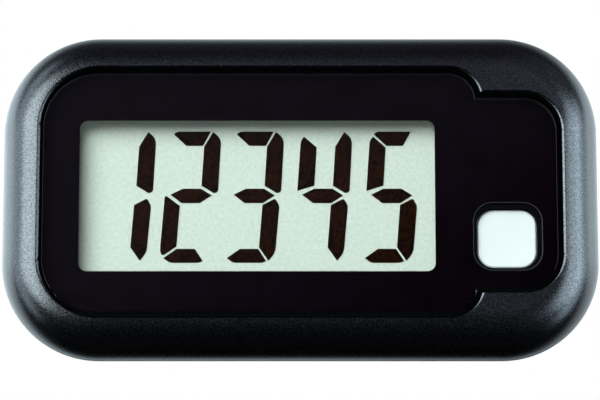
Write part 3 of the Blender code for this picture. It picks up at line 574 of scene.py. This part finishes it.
def bay_plate(name, plan, inset, low_z, high_z, edge=0.0, edge_z=0.0):
    """Add a plate with the window's plan: a wide part, and a lower bay round the button.

    The plan gives its left, right, low and high sides, and inset is about how far these lie
    inside the recess. Where an edge is asked for, the border is rounded at one height."""
    left, right, low, high = plan
    wide = block(name, (left, low, low_z), (shoulder_x - inset, high, high_z))
    bevel(wide, lambda edge: upright(edge) and middle(edge).x < 0.0,
          recess_radius - inset, corner_segments)
    bevel(wide, lambda edge: upright(edge) and middle(edge).x > shoulder_x - inset - embed,
          shoulder_radius - inset, corner_segments)
    bay = block("bay", (0.0, low + bay_step, low_z), (right, high - bay_step, high_z))
    bevel(bay, lambda edge: upright(edge) and middle(edge).x > embed, bay_radius - inset,
          corner_segments)
    if edge:
        for part in (wide, bay):
            bevel(part, lambda side: at_height(side, edge_z), edge, edge_segments)
    fuse(wide, bay)
    return wide


def cover_form(name, inset, low_z, high_z):
    """Add a plate with the battery cover's plan: the tightest band round two rods."""
    piece = rod(name, cover_disc_radius - inset, low_z, high_z, cell_x, 0.0, round_sides * 2)
    tab = rod("tab", cover_tab_radius - inset, low_z, high_z, cover_tab_x, 0.0, round_sides)
    choose(piece)
    tab.select_set(True)
    bpy.ops.object.join()
    bpy.ops.object.mode_set(mode="EDIT")
    bpy.ops.mesh.select_all(action="SELECT")
    bpy.ops.mesh.convex_hull()
    bpy.ops.mesh.dissolve_limited(angle_limit=flat_angle)
    bpy.ops.object.mode_set(mode="OBJECT")
    return piece


def cut_flared(piece, tool, mouth_z, edge):
    """Cut a short tool that ends just inside a surface, so that it breaks a hole's edge."""
    bevel(tool, lambda side: at_height(side, mouth_z), edge * flare_share, edge_segments)
    cut(piece, tool)


def screw_places(stem, count):
    """Return the plan places of a row of screws in the frame."""
    places = []
    for number in range(1, count + 1):
        low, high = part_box(f"{stem}_{number}")
        places.append(((low.x + high.x) / 2, (low.y + high.y) / 2))
    return places


case_screw_places = screw_places("case_screw", 4)
board_screw_places = screw_places("board_screw", 2)


def make_front_shell():
    """Model the upper shell: rounded rim, sunken deck, lip, posts and button guide."""
    shell = domed_form("front_shell", 0.0, split_z - lip_height, top_z, crown_width,
                       crown_height, top_z)
    skirt = case_form("skirt", -overrun, split_z - lip_height - overrun, split_z)
    cut(skirt, case_form("lip", lip_inset, split_z - lip_height - overrun * 2,
                         split_z + overrun))
    cut(shell, skirt)
    cut(shell, case_form("hollow", side_wall, split_z - lip_height - overrun, deck_low_z))
    cut(shell, bay_plate("recess", (recess_left, recess_right, recess_low, recess_high), 0.0,
                         deck_z, top_z + overrun))
    mouth_z = top_z - rim_drop - rim_edge
    mouth_plan = (recess_left - rim_edge, recess_right + rim_edge,
                  recess_low - rim_edge_narrow, recess_high + rim_edge_narrow)
    cut(shell, bay_plate("rim_mouth", mouth_plan, -rim_edge, mouth_z, top_z + overrun,
                         rim_edge * flare_share, mouth_z))
    for number, (x, y) in enumerate(case_screw_places, 1):
        tip_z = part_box(f"case_screw_{number}")[1].z
        fuse(shell, rod("post", post_radius, board_low.z, deck_low_z + embed, x, y))
        cut(shell, rod("pilot", shank_bore - pilot_gap / 2, board_low.z - overrun,
                       tip_z + embed, x, y))
    for x, y in board_screw_places:
        fuse(shell, rod("post", board_post_radius, board_high.z + parting_edge,
                        deck_low_z + embed, x, y))
    guide = round_block("guide", guide_half + guide_wall, guide_half + guide_wall,
                        flange_radius, deck_low_z - guide_drop, deck_low_z + embed, button_x,
                        button_y)
    cut(guide, round_block("guide_bore", guide_half, guide_half, flange_radius,
                           deck_low_z - guide_drop - overrun, deck_low_z + overrun, button_x,
                           button_y))
    fuse(shell, guide)
    cut(shell, round_block("button_hole", case_hole_half, case_hole_half, case_hole_radius,
                           deck_low_z - overrun / 2, deck_z + overrun, button_x, button_y))
    opening_x = (window_right - window_left) / 2 + deck_opening_margin
    opening_y = (window_high - window_low) / 2 + deck_opening_margin
    cut(shell, round_block("display_opening", opening_x, opening_y, window_radius,
                           deck_low_z - overrun / 2, deck_z + overrun,
                           (window_left + window_right) / 2, (window_low + window_high) / 2))
    bevel(shell, lambda edge: at_height(edge, split_z) and beside_wall(edge)
          and max(abs(middle(edge).x) / half_x, abs(middle(edge).y) / half_y) > border_share,
          parting_edge, edge_segments)
    finish(shell, "case", eroded_abs, "case_plastic", "front_case")
    # Within the recess's plan, the deck, all below it and the walls that face inward get the
    # painted shade of the recess.
    shell.data.materials.append(recess_painted_shade)
    for face in shell.data.polygons:
        inside_x = recess_left - fit_margin < face.center.x < recess_right + fit_margin
        inside_y = recess_low - fit_margin < face.center.y < recess_high + fit_margin
        low = face.center.z < deck_z + fit_margin
        wall = abs(face.normal.z) < wall_rise and face.normal.dot(face.center) < 0.0
        if inside_x and inside_y and (low or wall):
            face.material_index = 1


def make_back_shell():
    """Model the lower shell: rounded back, battery well, cover seat, posts and rebate."""
    shell = domed_form("back_shell", 0.0, case_low.z, split_z, back_width, back_height,
                       case_low.z)
    bevel(shell, lambda edge: at_height(edge, split_z), parting_edge, edge_segments)
    cut(shell, domed_form("hollow", side_wall, back_floor, split_z + overrun,
                          back_width - side_wall, back_height - back_floor, back_floor))
    cut(shell, case_form("rebate", rebate_inset, split_z - rebate_drop, split_z + overrun))
    fuse(shell, cover_form("ledge", -ledge_margin, back_floor - embed, ledge_high_z))
    fuse(shell, rod("well", well_radius + well_wall, back_floor - embed, well_high_z, cell_x,
                    0.0, round_sides))
    fuse(shell, rod("boss", boss_radius, back_floor - embed, well_high_z, cover_tab_x, 0.0))
    for number, (x, y) in enumerate(case_screw_places, 1):
        head_high_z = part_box(f"case_screw_{number}")[0].z + back_floor
        fuse(shell, rod("post", back_post_radius, back_floor - embed, back_post_high_z, x, y))
        cut(shell, rod("bore", shank_bore, -overrun, back_post_high_z + overrun, x, y))
        cut(shell, rod("head_bore", head_bore, -overrun, head_high_z, x, y))
    cut(shell, rod("cell_bore", well_radius, -overrun, well_high_z + overrun, cell_x, 0.0,
                   round_sides))
    cut(shell, cover_form("cover_seat", 0.0, -overrun, ledge_low_z))
    cut(shell, rod("cover_bore", cover_bore, -overrun, cover_bore_high_z, cover_tab_x, 0.0))
    cut(shell, rod("washer_bore", washer_bore, -overrun, washer_bore_high_z, cover_tab_x, 0.0))
    slot_x = cell_x - well_radius - well_wall / 2
    cut(shell, block("contact_slot", (slot_x - well_wall, -slot_width / 2,
                                      ledge_high_z + parting_edge),
                     (slot_x + well_wall, slot_width / 2, well_high_z + overrun)))
    finish(shell, "case", back_abs, "case_plastic", "back_case")


def make_window():
    """Model the clear lens and the black print behind it."""
    lens = bay_plate("lens_plate", (lens_left, lens_right, lens_low.y, lens_high.y), lens_inset,
                     lens_low.z, lens_high.z, lens_edge, lens_high.z)
    cut(lens, round_block("lens_hole", lens_hole_half, lens_hole_half, lens_hole_radius,
                          lens_low.z - overrun, lens_high.z + overrun, button_x, button_y))
    mouth_half = lens_hole_half + lens_edge
    mouth_z = lens_high.z - lens_edge
    cut_flared(lens, round_block("mouth", mouth_half, mouth_half, lens_hole_radius + lens_edge,
                                 mouth_z, lens_high.z + overrun, button_x, button_y),
               mouth_z, lens_edge)
    finish(lens, "case", cast_acrylic, "lens_acrylic", "window_lens")
    # The outer wall, and the broken edge at the ends and round the button hole, get the opaque grey
    # of the painted glint.
    lens.data.materials.append(lens_painted_glint_grey)
    hole = Vector((button_x, button_y))
    for face in lens.data.polygons:
        rise = abs(face.normal.z)
        by_hole = (face.center.xy - hole).length < hole_zone
        at_end = abs(face.center.x) > lens_end_x and abs(face.normal.x) > lens_end_turn
        wall = rise < lens_wall_rise and not by_hole
        slope = lens_wall_rise < rise < lens_slope_rise and (by_hole or at_end)
        if wall or slope:
            face.material_index = 1
    mask = bay_plate("lens_print", (lens_left + print_inset, lens_right - print_inset,
                                    mask_low.y, mask_high.y), lens_inset + print_inset,
                     mask_low.z, mask_high.z)
    cut(mask, round_block("mask_hole", mask_hole_half, mask_hole_half, lens_hole_radius,
                          mask_low.z - overrun, mask_high.z + overrun, button_x, button_y))
    cut(mask, round_block("mask_window", (window_right - window_left) / 2,
                          (window_high - window_low) / 2, window_radius,
                          mask_low.z - overrun, mask_high.z + overrun,
                          (window_left + window_right) / 2, (window_low + window_high) / 2))
    finish(mask, "case", screen_ink, "mask_print", "window_mask")


def make_button():
    """Model the push button: a soft-edged cap on its flange."""
    seat_z = button_high.z - button_seat
    cap = round_block("button_cap", button_half, button_half, button_radius,
                      seat_z - flange_height / 2, button_high.z, button_x, button_y,
                      corner_segments)
    bevel(cap, lambda edge: at_height(edge, button_high.z), button_edge, cap_segments)
    fuse(cap, round_block("flange", flange_half, flange_half, flange_radius, button_low.z,
                          seat_z, button_x, button_y))
    finish(cap, "button", white_abs, "button_plastic", "mode_button")


def ball(name, radius, x, y, z):
    """Add a ball with fine rings."""
    bpy.ops.object.select_all(action="DESELECT")
    bpy.ops.mesh.primitive_uv_sphere_add(segments=round_sides, ring_count=dome_rings,
                                         radius=radius, location=(x, y, z))
    return named(name)


def make_snap_dome():
    """Model the key's snap dome: a cap of spring strip that the plunger flattens."""
    low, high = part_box("switch_dome")
    reach = (high.x - low.x) / 2
    rise = high.z - low.z
    radius = (reach * reach + rise * rise) / (2.0 * rise)
    centre_z = high.z - radius
    dome = ball("snap_dome", radius, button_x, button_y, centre_z)
    slice_off(dome, (button_x, button_y, low.z), (0.0, 0.0, -1.0))
    cut(dome, ball("dome_hollow", radius - dome_strip, button_x, button_y, centre_z))
    finish(dome, "case", spring_strip, "spring_steel", "switch_dome")
    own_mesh(dome)


def bar_piece(letter, low_z, high_z):
    """Cut one slanting bar of a digit from a block, one side of its outline at a time."""
    outline = [(Vector(((x + y * digit_slant) * MM, y * MM)), radius * MM)
               for x, y, radius in bar_outlines[letter]]
    points = [point for point, radius in outline]
    bar = block("bar_" + letter,
                (min(p.x for p in points) - embed, min(p.y for p in points) - embed, low_z),
                (max(p.x for p in points) + embed, max(p.y for p in points) + embed, high_z))
    for start, end in zip(points, points[1:] + points[:1]):
        along = (end - start).normalized()
        slice_off(bar, (start.x, start.y, low_z), (-along.y, along.x, 0.0))
    for point, radius in outline:
        if radius > 0.0:
            bevel(bar, lambda edge: upright(edge)
                  and (middle(edge).xy - point).length < fit_margin, radius, cap_segments)
    return bar


def make_display():
    """Model the display: its pale face and five digits of dark bars on it."""
    face_z = rear_glass_high.z + face_drop
    face = block("display_face", cell_face_low,
                 (cell_face_high.x, cell_face_high.y + face_reach, face_z))
    bevel(face, upright, face_corner, face_segments)
    finish(face, "case", crystal_off, "display_green", "lcd_crystal_layer")
    bars = {letter: bar_piece(letter, face_z, face_z + bar_height) for letter in bar_outlines}
    for number, (letters, low_x) in enumerate(zip(digit_text, digit_lows), 1):
        copies = []
        for letter in letters:
            copy = bars[letter].copy()
            copy.data = bars[letter].data.copy()
            bpy.context.scene.collection.objects.link(copy)
            copies.append(copy)
        digit = copies[0]
        choose(digit)
        for copy in copies[1:]:
            copy.select_set(True)
        bpy.ops.object.join()
        digit.name = f"display_digit_{number}"
        digit.data.name = digit.name
        digit.location = (low_x, digit_base, 0.0)
        bpy.ops.object.transform_apply(location=True)
        finish(digit, "case", crystal_on, "display_green")
    for bar in bars.values():
        bpy.data.objects.remove(bar, do_unlink=True)


def make_cover():
    """Model the battery cover, with its screw hole and a row of finger ridges."""
    cover = cover_form("cover_plate", cover_gap, cover_low.z, cover_high.z)
    bevel(cover, lambda edge: at_height(edge, cover_low.z), cover_edge, face_segments)
    screw_low, screw_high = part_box("cover_screw")
    head_radius = (screw_high.x - screw_low.x) / 2
    cut(cover, rod("head_bore", head_radius + cover_gap, cover_low.z - overrun,
                   screw_low.z + cover_head_depth, cover_tab_x, 0.0, round_sides))
    mouth_z = cover_low.z + cover_edge
    cut_flared(cover, rod("mouth", head_radius + cover_gap + cover_edge,
                          cover_low.z - overrun, mouth_z, cover_tab_x, 0.0, round_sides),
               mouth_z, cover_edge)
    cut(cover, rod("shank_bore", cover_bore, cover_low.z - overrun, cover_high.z + overrun,
                   cover_tab_x, 0.0))
    for number in range(grip_count):
        x = grip_x + grip_pitch * number
        bpy.ops.object.select_all(action="DESELECT")
        bpy.ops.mesh.primitive_cylinder_add(vertices=small_sides, radius=grip_radius,
                                            depth=grip_length,
                                            location=(x, 0.0, cover_low.z - grip_radius / 2),
                                            rotation=(math.pi / 2, 0.0, 0.0))
        groove = named("groove")
        bevel(groove, lambda edge: abs(middle(edge).y) > grip_length * grip_end_share,
              grip_radius * grip_round_share, grip_segments)
        cut(cover, groove)
    finish(cover, "cover", back_abs, "cover_plastic", "battery_cover")


def make_screw(name, node, shank_radius, head_height, body):
    """Model a pan-head screw, head down, with a cross recess and a ridged shank."""
    low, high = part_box(node)
    x = (low.x + high.x) / 2
    y = (low.y + high.y) / 2
    head_radius = (high.x - low.x) / 2
    head_high_z = low.z + head_height
    screw = rod(name, head_radius, low.z, head_high_z, x, y, round_sides)
    bevel(screw, lambda edge: at_height(edge, low.z), screw_edge, head_segments)
    turns = int((high.z - head_high_z) / thread_pitch)
    shank = rod("shank", shank_radius, head_high_z - screw_edge, high.z, x, y)
    in_edit_mode(shank, upright, lambda: bpy.ops.mesh.subdivide(number_cuts=turns * 2 + 1))
    choose(shank)
    # Every second ring of the shank is drawn in, which leaves the thread's ridges.
    shape = bmesh.new()
    shape.from_mesh(shank.data)
    levels = sorted({round(vert.co.z, level_digits) for vert in shape.verts})
    for vert in shape.verts:
        level = levels.index(round(vert.co.z, level_digits))
        if level % 2 == 0 and vert.co.z > head_high_z:
            vert.co.x = x + (vert.co.x - x) * thread_share
            vert.co.y = y + (vert.co.y - y) * thread_share
    shape.to_mesh(shank.data)
    shape.free()
    fuse(screw, shank)
    depth_z = low.z + head_height * cross_depth_share
    reach = head_radius * cross_reach_share
    width = head_radius * cross_width_share / 2
    for long_x, long_y in ((reach, width), (width, reach)):
        arm = block("arm", (x - long_x, y - long_y, low.z - overrun),
                    (x + long_x, y + long_y, depth_z))
        cut(screw, arm)
    finish(screw, body, zinc_plate, "screw_steel", node)


make_front_shell()
make_back_shell()
make_window()
make_button()
make_snap_dome()
make_display()
make_cover()
for number in range(1, len(case_screw_places) + 1):
    make_screw(f"housing_screw_{number}", f"case_screw_{number}", case_shank_radius,
               case_head_height, "case")
make_screw("battery_cover_screw", "cover_screw", cover_shank_radius, cover_head_height,
           "cover_fastener")

# Finishes of the pieces that keep their CAD shape
node_finishes = {
    "lcd_front_polariser": polarising_film,
    "lcd_front_glass": float_glass,
    "lcd_rear_glass": float_glass,
    "lcd_reflector": foil,
    "lcd_tray": nylon,
    "zebra_connector": zebra_rubber,
    "circuit_board": laminate,
    "processor_chip": epoxy,
    "motion_sensor": epoxy,
    "clock_crystal": tin_plate,
    "switch_base": epoxy,
    "switch_plunger": nylon,
    "switch_frame": tin_plate,
    "battery_can": nickel_plate,
    "battery_gasket": nylon,
    "battery_cap": nickel_plate,
    "battery_pellet": epoxy,
    "battery_contact_positive": gold_flash,
    "battery_contact_negative": gold_flash,
    "cover_screw_washer": nylon,
    "board_screw_1": zinc_plate,
    "board_screw_2": zinc_plate,
}
for number in range(1, 4):
    node_finishes[f"capacitor_{number}"] = ceramic
    node_finishes[f"resistor_{number}"] = epoxy
for node, material in node_finishes.items():
    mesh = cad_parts[node].data
    mesh.materials.clear()
    mesh.materials.append(material)


# Studio: the camera, a white floor and soft lights

camera_tilt = math.radians(11.5)
camera_distance = 326.57 * MM
camera_aim = Vector((-0.04 * MM, -0.155 * MM, 6.5 * MM))
camera_lens = 184.58
floor_reach = 4.0
floor_drop = 0.02 * MM
floor_glow = 1.0
# How brightly the paper shows in glossy surfaces: at the two ends, fading away from a slanting
# middle line, and all along the case from just in front of it, fading behind it and to the right
end_sheen = 4.75
left_sheen_full_x = -53.0 * MM
left_sheen_off_x = -28.0 * MM
right_sheen_off_x = 28.0 * MM
right_sheen_full_x = 58.0 * MM
end_sheen_slant = -0.15
end_sheen_full_y = 6.0 * MM
end_sheen_off_y = 36.0 * MM
side_sheen = 1.2
front_sheen_off_y = -23.5 * MM
front_sheen_full_y = -19.5 * MM
back_sheen_full_y = 18.0 * MM
back_sheen_low_y = 36.0 * MM
back_sheen_low = 0.12
right_fade_x = 36.0 * MM
right_fade_low = 0.5
# How bright the room is to the back and left, as places on a scale from front to back
sky_stops = ((0.15, 0.0), (0.2, 0.11), (0.28, 0.17), (0.35, 0.5), (0.46, 0.62), (0.62, 0.42),
             (0.85, 0.1))
sky_side_share = -0.5
# Each softbox: its name, azimuth, tilt, distance, width, height, strength and colour, and whether
# it shows in glossy surfaces only or lights matt ones only
softboxes = (
    ("left_softbox", 167.0, 44.0, 0.45, 0.46, 0.36, 17.2, "e4f8ff", True),
    ("left_low_softbox", 168.0, 76.0, 0.45, 0.95, 0.22, 5.3, "d4ecff", True),
    ("right_softbox", 1.0, 52.5, 0.45, 0.4, 0.36, 11.6, "d9efff", True),
    ("right_glow", 46.0, 22.0, 0.45, 0.11, 0.11, 1.6, "d9e6ff", True),
    ("right_low_softbox", -4.0, 74.0, 0.45, 0.62, 0.23, 6.4, "d2ecff", True),
    ("key_light", 135.0, 40.0, 0.6, 0.6, 0.6, 5.9, "ffffff", False),
    ("fill_light", -90.0, 15.0, 0.6, 0.16, 0.16, 6.0, "ffffff", False),
)

view_axis = Vector((0.0, math.sin(camera_tilt), -math.cos(camera_tilt)))
camera_data = bpy.data.cameras.new("camera")
camera_data.lens = camera_lens
camera_data.sensor_width = 36.0
camera = bpy.data.objects.new("camera", camera_data)
camera.location = camera_aim - view_axis * camera_distance
camera.rotation_euler = view_axis.to_track_quat("-Z", "Y").to_euler()
bpy.context.scene.collection.objects.link(camera)
bpy.context.scene.camera = camera


def make_floor():
    """Lay a white floor that shows from above and is seen through from below."""
    bpy.ops.object.select_all(action="DESELECT")
    bpy.ops.mesh.primitive_plane_add(size=floor_reach, location=(0.0, 0.0, -floor_drop))
    floor = named("floor")
    material = bpy.data.materials.new("white_paper_sweep")
    material.use_nodes = True
    tree = material.node_tree
    tree.nodes.remove(tree.nodes["Principled BSDF"])
    ray = add_node(tree, "ShaderNodeLightPath", {})
    side = add_node(tree, "ShaderNodeNewGeometry", {})
    place = add_node(tree, "ShaderNodeTexCoord", {})
    axes = add_node(tree, "ShaderNodeSeparateXYZ", {}, {0: place.outputs["Object"]})
    left = add_node(tree, "ShaderNodeMapRange", {
        "From Min": left_sheen_full_x, "From Max": left_sheen_off_x, "To Min": end_sheen,
        "To Max": 0.0}, {"Value": axes.outputs["X"]})
    right = add_node(tree, "ShaderNodeMapRange", {
        "From Min": right_sheen_off_x, "From Max": right_sheen_full_x, "To Max": end_sheen},
        {"Value": axes.outputs["X"]})
    ends = add_node(tree, "ShaderNodeMath", {"operation": "ADD"}, {
        0: left.outputs["Result"], 1: right.outputs["Result"]})
    reach = add_node(tree, "ShaderNodeMath", {"operation": "ABSOLUTE"}, {0: axes.outputs["X"]})
    slant = add_node(tree, "ShaderNodeMath", {"operation": "MULTIPLY_ADD", 1: end_sheen_slant},
                     {0: reach.outputs["Value"], 2: axes.outputs["Y"]})
    across = add_node(tree, "ShaderNodeMath", {"operation": "ABSOLUTE"},
                      {0: slant.outputs["Value"]})
    fade = add_node(tree, "ShaderNodeMapRange", {
        "interpolation_type": "SMOOTHSTEP", "From Min": end_sheen_full_y,
        "From Max": end_sheen_off_y, "To Min": 1.0, "To Max": 0.0},
        {"Value": across.outputs["Value"]})
    front = add_node(tree, "ShaderNodeMapRange", {
        "From Min": front_sheen_off_y, "From Max": front_sheen_full_y, "To Max": side_sheen},
        {"Value": axes.outputs["Y"]})
    back = add_node(tree, "ShaderNodeMapRange", {
        "From Min": back_sheen_full_y, "From Max": back_sheen_low_y, "To Min": 1.0,
        "To Max": back_sheen_low}, {"Value": axes.outputs["Y"]})
    strip = add_node(tree, "ShaderNodeMath", {"operation": "MULTIPLY"}, {
        0: front.outputs["Result"], 1: back.outputs["Result"]})
    far_right = add_node(tree, "ShaderNodeMapRange", {
        "From Min": 0.0, "From Max": right_fade_x, "To Min": 1.0, "To Max": right_fade_low},
        {"Value": axes.outputs["X"]})
    sides = add_node(tree, "ShaderNodeMath", {"operation": "MULTIPLY"}, {
        0: strip.outputs["Value"], 1: far_right.outputs["Result"]})
    sheen = add_node(tree, "ShaderNodeMath", {"operation": "MULTIPLY_ADD"}, {
        0: ends.outputs["Value"], 1: fade.outputs["Result"], 2: sides.outputs["Value"]})
    glow = add_node(tree, "ShaderNodeMix", {"data_type": "FLOAT", 2: floor_glow}, {
        0: ray.outputs["Is Glossy Ray"], 3: sheen.outputs["Value"]})
    tone = add_node(tree, "ShaderNodeMix", {"data_type": "RGBA", 6: linear("ffffff"),
                                            7: linear("dff2fc")},
                    {0: ray.outputs["Is Glossy Ray"]})
    paper = add_node(tree, "ShaderNodeEmission", {}, {
        "Color": tone.outputs[2], "Strength": glow.outputs[0]})
    through = add_node(tree, "ShaderNodeBsdfTransparent", {})
    both = add_node(tree, "ShaderNodeMixShader", {}, {
        0: side.outputs["Backfacing"], 1: paper.outputs["Emission"],
        2: through.outputs["BSDF"]})
    tree.links.new(both.outputs["Shader"], tree.nodes["Material Output"].inputs["Surface"])
    floor.data.materials.append(material)


def make_sky():
    """Light the room dimly, dark in front, and show it white to the camera and from below."""
    world = bpy.data.worlds.new("studio")
    world.use_nodes = True
    bpy.context.scene.world = world
    tree = world.node_tree
    ray = add_node(tree, "ShaderNodeLightPath", {})
    way = add_node(tree, "ShaderNodeTexCoord", {})
    axes = add_node(tree, "ShaderNodeSeparateXYZ", {}, {0: way.outputs["Generated"]})
    depth = add_node(tree, "ShaderNodeMath", {"operation": "MULTIPLY_ADD", 1: sky_side_share},
                     {0: axes.outputs["X"], 2: axes.outputs["Y"]})
    room = add_node(tree, "ShaderNodeValToRGB", {}, {"Fac": depth.outputs["Value"]})
    tint = linear("dcdcff")
    stops = room.color_ramp.elements
    stops.remove(stops[1])
    for number, (place, glow) in enumerate(sky_stops):
        stop = stops.new(place) if number else stops[0]
        stop.position = place
        stop.color = (tint[0] * glow, tint[1] * glow, tint[2] * glow, 1.0)
    below = add_node(tree, "ShaderNodeMath", {"operation": "LESS_THAN", 1: 0.0},
                     {0: axes.outputs["Z"]})
    white = add_node(tree, "ShaderNodeMath", {"operation": "MAXIMUM"},
                     {0: ray.outputs["Is Camera Ray"], 1: below.outputs["Value"]})
    shown = add_node(tree, "ShaderNodeMix", {"data_type": "RGBA", 7: (1.0, 1.0, 1.0, 1.0)},
                     {0: white.outputs["Value"], 6: room.outputs["Color"]})
    tree.links.new(shown.outputs[2], tree.nodes["Background"].inputs["Color"])


def add_softbox(name, azimuth, tilt, distance, width, height, strength, colour, glossy):
    """Hang an oval softbox at an azimuth from +X and a tilt from above, aimed at the case."""
    data = bpy.data.lights.new(name, "AREA")
    data.shape = "ELLIPSE"
    data.size = width
    data.size_y = height
    data.energy = strength * math.pi * (math.pi * width * height / 4)
    data.color = linear(colour)[:3]
    lamp = bpy.data.objects.new(name, data)
    turn = math.radians(azimuth)
    lean = math.radians(tilt)
    away = Vector((math.cos(turn) * math.sin(lean), math.sin(turn) * math.sin(lean),
                   math.cos(lean)))
    lamp.location = away * distance
    lamp.rotation_euler = (-away).to_track_quat("-Z", "Y").to_euler()
    lamp.visible_glossy = glossy
    lamp.visible_diffuse = not glossy
    lamp.visible_camera = False
    bpy.context.scene.collection.objects.link(lamp)


make_floor()
make_sky()
for softbox in softboxes:
    add_softbox(*softbox)
bpy.context.scene.view_settings.view_transform = "Standard"
bpy.context.scene.cycles.transparent_max_bounces = 24
